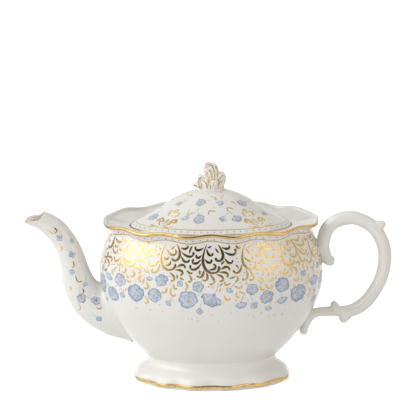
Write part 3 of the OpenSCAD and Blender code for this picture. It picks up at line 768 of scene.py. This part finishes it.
def addPetal(where, facing, centre, angle, reach, half, wide, lift, tone):
    bm = brush(enamel, where)
    layer = bm.verts.layers.float["tone"]
    normal = facing(*centre)[1]
    ca, sa = cos(angle), sin(angle)
    frill = between(0, 6)
    for vert in bmesh.ops.create_uvsphere(bm, u_segments=14, v_segments=4, radius=1)["verts"]:
        across, ahead, up = vert.co
        spread, bearing = hypot(across, ahead), atan2(ahead, across)
        frilled = 1 + 0.09 * spread * sin(5 * bearing + frill)
        out, side = reach + ahead * half * frilled, across * wide * frilled * (0.84 + 0.16 * ahead)
        point = facing(centre[0] + out * sa + side * ca, centre[1] + out * ca - side * sa, False)[0]
        vert.co = (point + normal * (0.05 * up + (lift if up > 0 else 0) + 0.025 * across * (up >= 0))) * mm
        shade = tone * (1 - max(0.0, spread - 0.38) * 1.65) + 0.30 * max(0.0, -ahead - 0.2)
        vert[layer] = shade + 0.07 * spread * sin(7 * bearing + 2 * frill)

def addHeart(where, facing, centre, radius):  # a small seed head ringed by gilded stamens
    point, normal = facing(*centre)
    addDot(enamel, where, point, normal, 0.15 * radius, 0.19, 1.0)
    for k in range(0 if radius < 2.8 else 5 if radius < 5 else 10):
        angle, out = 2.4 * k, radius * (0.05 if k == 0 else 0.18 + 0.08 * (k % 2))
        x, y = centre[0] + out * sin(angle), centre[1] + out * cos(angle)
        if k % 3 == 2:
            dotAt(enamel, where, facing, x, y, 0.26 + 0.03 * radius, 0.24, 1.0)
        else:
            dotAt(gilt, where + "Gold", facing, x, y, 0.32 + 0.035 * radius, 0.26)

def addBlossom(where, facing, centre, radius, away):  # on a fine stalk that heads away
    stalk = (0, 0, away, radius + 6, between(-5, 5), between(-40, 40), 0.8, "line")
    addStroke(enamel, where, facing, stalk, 1, centre, 0.05, 0.3)
    turn, bold = between(0, 2), between(0.85, 1.1)
    petals = 4 if radius < 3.4 else 5 if radius < 5.6 else 6
    rings = ((0, petals, 0.53, 0.46, 0.60, 0.02, 0.40), (2.9, petals - 1, 0.36, 0.34, 0.40, 0.05, 0.46),
             (4.2, 4, 0.20, 0.22, 0.25, 0.09, 0.52))
    for index, (least, count, reach, half, wide, lift, tone) in enumerate(rings):
        for k in range(count if radius > least else 0):
            size = radius * between(0.9, 1.06)
            angle = turn + 2 * pi * (k + 0.5 * index + between(-0.12, 0.12)) / count
            addPetal(where, facing, centre, angle, reach * size, half * size, wide * size, lift,
                     tone * bold * between(0.6, 1.5))
    addHeart(where, facing, centre, radius)

def addBell(where, facing, centre, radius, heading):  # a blossom seen from its side, on a stalk
    angle, bold = radians(heading), between(0.85, 1.1)
    base = (centre[0] - 0.6 * radius * sin(angle), centre[1] - 0.6 * radius * cos(angle))
    for spread, count, reach, half, lift in ((0.95, 4, 0.72, 0.52, 0.02), (0.55, 3, 0.62, 0.56, 0.06)):
        for k in range(count):
            fan = spread * (2 * k / (count - 1) - 1)
            addPetal(where, facing, base, angle + fan, reach * radius * (1.12 - 0.16 * abs(fan)),
                     half * radius, 0.36 * radius, lift, 0.42 * bold * between(0.7, 1.35))
    point, normal = facing(*base)
    addDot(enamel, where, point, normal, 0.2 * radius, 0.2, 0.8)
    stalk = (0, 0, heading + 180 + between(-20, 20), radius * 0.7 + 5, between(-6, 6), between(-50, 50),
             0.85, "line")
    addStroke(enamel, where, facing, stalk, 1, base, 0.06, 0.2)

def addCurl(where, facing, x, y, heading, length, side, width):
    stroke = (0, 0, heading + between(-8, 8), length * between(0.92, 1.08), between(-2.4, -0.6),
              between(170, 240), width, "curl")
    addStroke(gilt, where, facing, stroke, side, (x, y))

# bowl design, set out on the flat: x runs round the wall, y runs down it from the collar, in millimetres
weave = {
    "around": 212.0, "degrees": 180, "mesh": 4.0, "stems": 14, "fillers": 7000, "dots": 500,
    "specks": 110, "rimDots": 78,
    # blossoms: how many, smallest and largest radius, highest and lowest place
    "blossoms": [(6, 7.0, 7.9, 34, 41), (7, 5.4, 6.4, 29, 44), (8, 4.2, 5.0, 25, 47), (13, 2.5, 3.2, 23, 51)]}
around, taken = weave["around"], {}
squaresAround = [(i, j) for i in (-1, 0, 1) for j in (-1, 0, 1)]

def squareOf(x, y):
    return int((x % around) // weave["mesh"]), int(y // weave["mesh"])

def isClear(path, gap):
    columns = int(around / weave["mesh"])
    for x, y, width in path:
        column, row = squareOf(x, y)
        for i, j in squaresAround:
            for a, b, other in taken.get(((column + i) % columns, row + j), ()):
                apart = abs(x % around - a)
                apart = min(apart, around - apart)
                if hypot(apart, y - b) < (width + other) / 2 + gap:
                    return False
    return True

def claim(path):
    for x, y, width in path:
        taken.setdefault(squareOf(x, y), []).append((x % around, y, width))

def diskPath(x, y, radius):  # points that fill a disk
    path = [(x, y, 2.0)]
    for ring in range(1, int(radius // 2) + 1):
        out = radius - 1 - 2 * (int(radius // 2) - ring)
        path += [(x + out * cos(k * pi / 8), y + out * sin(k * pi / 8), 2.0) for k in range(16)]
    return path

def planBlossoms():
    placed = []
    for count, small, large, high, low in weave["blossoms"]:
        for k in range(count):
            for again in range(60):
                x = (k + between(-0.1, 0.9)) * around / count
                y, radius = between(high, low), between(small, large)
                path = diskPath(x, y, radius)
                if isClear(path, 1.3):
                    claim(path)
                    placed.append((x, y, radius, dice.random() < (0.45 if 2.8 < radius < 6.6 else 0.1)))
                    break
    return placed

def planLace():
    strokes = []

    def attempt(x, y, hand, stroke, start=0):
        path = [(x + hand * px, y + py, width) for px, py, width in strokePath(stroke)]
        if min(p[1] for p in path) > -2.7 and max(p[1] for p in path) < 47 and isClear(path[start:], 0):
            claim(path)
            strokes.append((x, y, hand, stroke))
            return path
        return None

    stems = []
    for k in range(weave["stems"]):
        hand = 1 if k % 2 else -1
        x = (k + 0.5) * around / weave["stems"] + between(-1.2, 1.2) - hand * 3.5
        for length in (33, 28, 24, 20, 15):
            stroke = (0, 0, between(24, 40), length * between(0.92, 1.08), -between(1.5, 2.3),
                      -between(150, 210), 2.9, "curl")
            path = attempt(x, -2.5, hand, stroke)
            if path:
                stems.append((path, hand))
                break
    for path, hand in stems:  # side shoots from the collar down, short at the tip
        for place in range(1, len(path) - 3):
            (x0, y0), (x1, y1) = path[place][:2], path[place + 1][:2]
            heading = degrees(atan2(hand * (x1 - x0), y1 - y0))
            for side in (1, -1):
                for size in (1.0, 0.8, 0.62, 0.48):
                    turned = heading + side * between(30, 48)
                    stroke = (0, 0, turned, (16 - 8.5 * place / len(path)) * size, side * between(0.2, 2.4),
                              side * between(180, 245), 2.55, "curl")
                    out = radians(heading + side * 70)
                    if attempt(x0 + hand * sin(out), y0 + cos(out), hand, stroke, 2):
                        break
    for k in range(weave["fillers"]):
        y = -2.6 + 45 * dice.random() ** 1.25
        if dice.random() > min(1.0, max(0.1, 1 - (y - 22) / 15)):
            continue
        hand, drift = dice.choice((1, -1)), between(-62, 62)
        if dice.random() < 0.72:
            stroke = (0, 0, drift, between(5.5, 11), between(0.6, 3), between(150, 240), 2.3, "curl")
        else:
            stroke = (0, 0, drift, between(3.8, 7.5), between(2, 5), 30, 2.1, "leaf")
        attempt(between(0, around), y, hand, stroke)
    spots = []
    for k in range(weave["dots"]):
        x, y, radius = between(0, around), 1 + 43 * dice.random(), between(0.5, 0.78)
        if isClear([(x, y, 2 * radius)], 0.4):
            claim([(x, y, 2 * radius)])
            spots.append((x, y, radius))
    return strokes, spots

def paintBowl():
    cell = around / 6
    facings = [spotAt(bowlSurface, 15 + 30 * k, 0.5, bowlHeart, evenScale=around / weave["degrees"])
               for k in range(12)]

    def local(x):
        whole = x % (2 * around)
        k = min(int(whole // cell), 11)
        return str(k // 4), facings[k], whole - (k + 0.5) * cell

    blossoms = planBlossoms()
    strokes, spots = planLace()
    for turn in (0, around):
        for x, y, radius, aside in blossoms:
            third, facing, x = local(x + turn)
            if aside:
                addBell("bowlFlowers" + third, facing, (x, y), radius, between(-35, 35))
            else:
                addBlossom("bowlFlowers" + third, facing, (x, y), radius, 180 + between(-50, 50))
        for x, y, hand, stroke in strokes:
            third, facing, x = local(x + turn)
            addStroke(gilt, "bowlGold" + third, facing, stroke, hand, (x, y))
        for x, y, radius in spots:
            third, facing, x = local(x + turn)
            dotAt(gilt, "bowlGold" + third, facing, x, y, radius)
    for k in range(weave["specks"]):  # blue, fading out below
        third, facing, x = local(between(0, 2 * around))
        y = 45 + 14 * dice.random() ** 1.4
        dotAt(enamel, "bowlFlowers" + third, facing, x, y, between(0.35, 0.7), 0.1, 0.2)

def lineSection(half):  # across and up
    return (half, -0.04), (0, 0.1), (-half, -0.04), (0, -0.12)

def paintLine(name, body, place):  # a thin gilded line round an oval
    skin = makeSkin(4, facets["gold"], lambda level, t: ringPoint(place(level, t), t), True)
    finishPiece(skin, name, body, gold)

def paintRim():
    def lineRing(level, t):  # rides up and down the wall with the scallops
        dz, grow = lineSection(0.62)[level]
        return outsideRing(122.45 + dz + 0.75 * scallopWave(t), grow)

    paintLine("collarLine", "pot", lineRing)
    for k in range(weave["rimDots"]):
        facing = spotAt(bowlSurface, k * 360 / weave["rimDots"], -5.6, bowlHeart)
        dotAt(enamel, "rimDots", facing, 0, 0, 0.72, 0.14, 0.05)

paintBowl()
paintRim()
print("bowl painted")

lidDesign = {
    "phases": (38, 142, 218, 322), "size": 0.9, "edgeDots": 58,
    # strokes of each cartouche: x, y, heading, length, bend, curl, width, profile
    "strokes": [(0.6, 0.5, 94, 15, -1.0, -262, 1.9, "curl"), (0.6, 1.6, 118, 12.5, 0.6, 262, 1.9, "curl"),
        (1.2, 4.0, 152, 17, -1.8, -250, 1.9, "curl"), (4.6, 5.6, 116, 9, 0, 200, 1.7, "curl"),
        (7.5, 1.8, 80, 5, 0, 60, 1.3, "leaf"), (3.4, 12.5, 130, 8, 2, 200, 1.6, "curl"),
        (1.0, 15.5, 165, 7, 1.5, 120, 1.4, "leaf")],
    "middle": (0, 1.2, 0, 9, 0, 0, 1.8, "drop"), "dots": [(0, 12.4, 0.7), (0, 24.6, 0.6), (0, 27.0, 0.5)],
    # rows round the lid: how many, first place, how far up the dome, radii or length
    "blossoms": [(12, 0.5, 0.27, (4.6, 3.0)), (9, 0.25, 0.60, (3.7, 2.9))],
    "curls": [(12, 0.1, 0.43, 9), (8, 0.7, 0.80, 7), (12, 0.0, 0.62, 6)]}

def paintLid():
    def lineRing(level, t):
        shift, lift = lineSection(0.34)[level]
        half, deep, z = coverLevel(0.006)[:3]
        return half + shift, deep + shift, z + lift - shift * 0.62, 0, 0, 0

    paintLine("lidLine", "lid", lineRing)
    for k in range(lidDesign["edgeDots"]):  # between the lines
        t = phaseAngle(2 * pi * k / lidDesign["edgeDots"], lidLean)
        here = Vector(ringPoint(coverRing(125.95, -2.1), t))
        normal = (Vector((cos(t) / cover["half"], sin(t) / cover["deep"], 0)).normalized() * 0.6
                  + Vector((0, 0, 0.8)))
        addDot(enamel, "lidDots", here, normal, 0.58, 0.22, 0.05)
    spot = lambda phase, inward: spotAt(lidSurface, phase, inward, lidHeart, (0.5, 0.01), -1)
    size = lidDesign["size"]
    for phase in lidDesign["phases"]:
        facing = spot(phase, 0.03)
        for side in (1, -1):
            for x, y, heading, length, bend, curl, width, profile in lidDesign["strokes"]:
                stroke = (x * size, y * size, 180 - heading, length * size, -bend / size, -curl,
                          width, profile)
                addStroke(gilt, "lidGold1", facing, stroke, side)
        addStroke(gilt, "lidGold1", facing, lidDesign["middle"])
        for x, y, radius in lidDesign["dots"]:
            dotAt(gilt, "lidGold1", facing, x, y, radius)
    for count, first, inward, sizes in lidDesign["blossoms"]:
        for k in range(count):
            phase = (k + first) * 360 / count
            near = min(lidDesign["phases"], key=lambda other: abs(phase - other))
            if inward < 0.4 and abs(phase - near) < 13:  # clear of the cartouche
                phase += 12 if phase > near else -12
            facing = spot(phase, inward + between(-0.04, 0.04))
            size = sizes[k % 2] * between(0.92, 1.08)
            if k % 3 == 1:
                addBell("lidFlowers", facing, (0, 0), size, 180 + between(-40, 40))
            else:
                addBlossom("lidFlowers", facing, (0, 0), size, between(-60, 60))
    for count, first, inward, length in lidDesign["curls"]:
        for k in range(count):
            facing = spot((k + first) * 360 / count, inward + between(-0.03, 0.03))
            addCurl("lidGold1", facing, -3, 0, between(60, 120), length, dice.choice((1, -1)), 1.25)
            dotAt(gilt, "lidGold1", facing, between(-4, 4), between(2, 4), 0.42)
            dotAt(enamel, "lidFlowers", facing, between(-5, 5), between(-4, -2), 0.42, 0.1)

paintLid()
print("lid painted")

sprig = {
    # place along and round the spout, then the size
    "blossoms": [(0.27, 12, 4.2), (0.205, -20, 3.8), (0.335, -24, 2.0), (0.53, -10, 2.9), (0.43, 12, 2.7),
        (0.66, 4, 2.9), (0.15, 22, 2.6), (0.6, -40, 2.0)],
    "curls": [(0.235, 30, 9, 1), (0.375, 0, 9.5, -1), (0.47, -4, 7, 1), (0.73, 14, 7.5, -1),
        (0.72, -14, 6, 1), (0.59, 22, 6.5, 1), (0.165, -4, 6, -1), (0.34, 34, 6, 1), (0.3, -8, 6, 1)],
    "dots": [(0.57, 8), (0.39, 22), (0.63, 22), (0.77, 20), (0.3, 38), (0.24, -34), (0.48, -30), (0.69, -26)]}

def paintSpout():
    for front, hand in ((180, 1), (0, -1)):
        spot = lambda along, aside: spotAt(
            spoutSurface, along, front + hand * aside,
            lambda point: (tubePoint(along, 0, 0) + tubePoint(along, pi, 0)) / 2, (0.004, 1.0))
        for along, aside, size in sprig["blossoms"]:
            addBlossom("spoutFlowers", spot(along, aside), (0, 0), size, 90 + between(-30, 30))
        for along, aside, length, side in sprig["curls"]:
            addCurl("spoutGilt", spot(along, aside), length / 2, 0, 270 * side, length, side, 1.3)
        for along, aside in sprig["dots"]:
            if aside > 19:
                dotAt(enamel, "spoutFlowers", spot(along, aside), 0, 0, 0.5, 0.1)
            else:
                dotAt(gilt, "spoutGilt", spot(along, aside), 0, 0, 0.5)

paintSpout()
print("spout painted")

def paintKnob():  # gilded crests of the flutes
    tree = BVHTree.FromObject(knobPiece, bpy.context.evaluated_depsgraph_get())
    for flute in leaves["flutes"]:
        for side in (-1, 1):
            stations = []
            for x, z in blendRows(flute[2], 5):
                z += 0.09 * max(0.0, z - 162)  # paint rides high on the upper curls
                start = Vector((x * mm, side * 0.05, z * mm))
                hit, normal = tree.ray_cast(start, Vector((0, -side, 0)))[:2]
                if hit is None or (stations and (hit / mm - stations[-1][0]).length > 2.4):
                    if len(stations) > 4:
                        break
                    stations = []
                else:
                    stations.append((hit / mm, normal))
            if len(stations) > 3:
                normals = [(a[1] + b[1] + c[1]).normalized() for a, b, c in
                           zip([stations[0]] + stations[:-1], stations, stations[1:] + [stations[-1]])]
                widths = [0.92 * profileWidth("line", i / (len(stations) - 1)) for i in range(len(stations))]
                addRibbon(gilt, "knobGilt", [(a[0], b) for a, b in zip(stations, normals)], widths, 0.16)

paintKnob()

def finishPainting(pieces, material):
    for name, sheets in pieces.items():
        bm = bmesh.new()
        for sheet in sheets:
            joinForm(bm, sheet)
        bmesh.ops.remove_doubles(bm, verts=bm.verts, dist=2e-8)
        bmesh.ops.dissolve_degenerate(bm, dist=1e-8, edges=bm.edges)
        bmesh.ops.recalc_face_normals(bm, faces=bm.faces)
        body = "lid" if name.startswith(("lid", "knob")) else "pot"
        piece = finishPiece(bm, name, body, material)
        piece.data.set_sharp_from_angle(angle=radians(35))

finishPainting(gilt, gold)
finishPainting(enamel, blue)
print("painting done")

# studio
studio = {
    "floor": 9.0, "floorGlow": 0.62, "air": 0.4,
    # name, place, width and height, power, colour
    "lights": [("keyLight", (-2.15, -1.0, 1.35), (2.6, 2.6), 53, (0.90, 0.95, 1.0)),
        ("fillLight", (1.5, -1.8, 0.7), (2.2, 1.8), 12, (1.0, 0.98, 0.95)),
        ("topLight", (0.1, 0.5, 1.9), (1.4, 1.0), 2.0, (1.0, 0.98, 0.95))]}

def cameraLift(tree):  # 1 for camera, glossy and transmission rays
    path = addNode(tree, "ShaderNodeLightPath")
    value = path.outputs["Is Camera Ray"]
    for name in ("Is Glossy Ray", "Is Transmission Ray"):
        either = addNode(tree, "ShaderNodeMath", operation="MAXIMUM")
        tree.links.new(value, either.inputs[0])
        tree.links.new(path.outputs[name], either.inputs[1])
        value = either.outputs["Value"]
    return value

def makeStudio():
    floor = bmesh.new()
    bmesh.ops.create_grid(floor, x_segments=2, y_segments=2, size=studio["floor"] / 2,
                          matrix=Matrix.Translation((0, 1.2, -0.0002)))
    ground = linkNew("floor", meshOf(floor, "floor"))
    material, tree, shader = newMaterial("paleFloor")
    tintFrom(tree, shader, noiseOn(tree, 9, 2), [(0.3, (0.88, 0.88, 0.88)), (0.7, (0.90, 0.90, 0.90))])
    setInputs(shader, {"Roughness": 0.9, "Specular IOR Level": 0.0, "Emission Color": (1, 1, 1, 1)})
    glow = rangeFrom(tree, cameraLift(tree), 0.0, studio["floorGlow"])
    tree.links.new(glow, shader.inputs["Emission Strength"])
    ground.data.materials.append(material)

    world = bpy.data.worlds.new("studioAir")
    bpy.context.scene.world = world
    world.use_nodes = True
    tree = world.node_tree
    sky = tree.nodes["Background"]
    sky.inputs["Color"].default_value = (1, 1, 1, 1)
    tree.links.new(rangeFrom(tree, cameraLift(tree), studio["air"], 1.0), sky.inputs["Strength"])

    for name, place, size, power, colour in studio["lights"]:  # aimed at the middle of the pot
        lamp = linkNew(name, bpy.data.lights.new(name, "AREA"))
        lamp.data.shape, lamp.data.energy, lamp.data.color = "RECTANGLE", power, colour
        lamp.data.size, lamp.data.size_y = size
        lamp.location = place
        lamp.rotation_euler = (Vector((0, 0, 0.08)) - Vector(place)).to_track_quat("-Z", "Y").to_euler()

    card = bmesh.new()  # dark card that the gold mirrors
    bmesh.ops.create_grid(card, x_segments=1, y_segments=1, size=0.5,
                          matrix=Matrix.Translation((-0.08, -1.5, 0.9)) @ Matrix.Rotation(pi / 2, 4, "X")
                          @ Matrix.Diagonal((1.7, 2.2, 1, 1)))
    shade = linkNew("darkCard", meshOf(card, "darkCard"))
    shade.visible_camera = shade.visible_diffuse = shade.visible_shadow = shade.visible_transmission = False
    material, tree, shader = newMaterial("darkFelt")
    tintFrom(tree, shader, noiseOn(tree, 40, 2), [(0.3, (0.012, 0.011, 0.01)), (0.7, (0.02, 0.018, 0.016))])
    shader.inputs["Roughness"].default_value = 0.9
    shade.data.materials.append(material)

makeStudio()
print("studio lit")
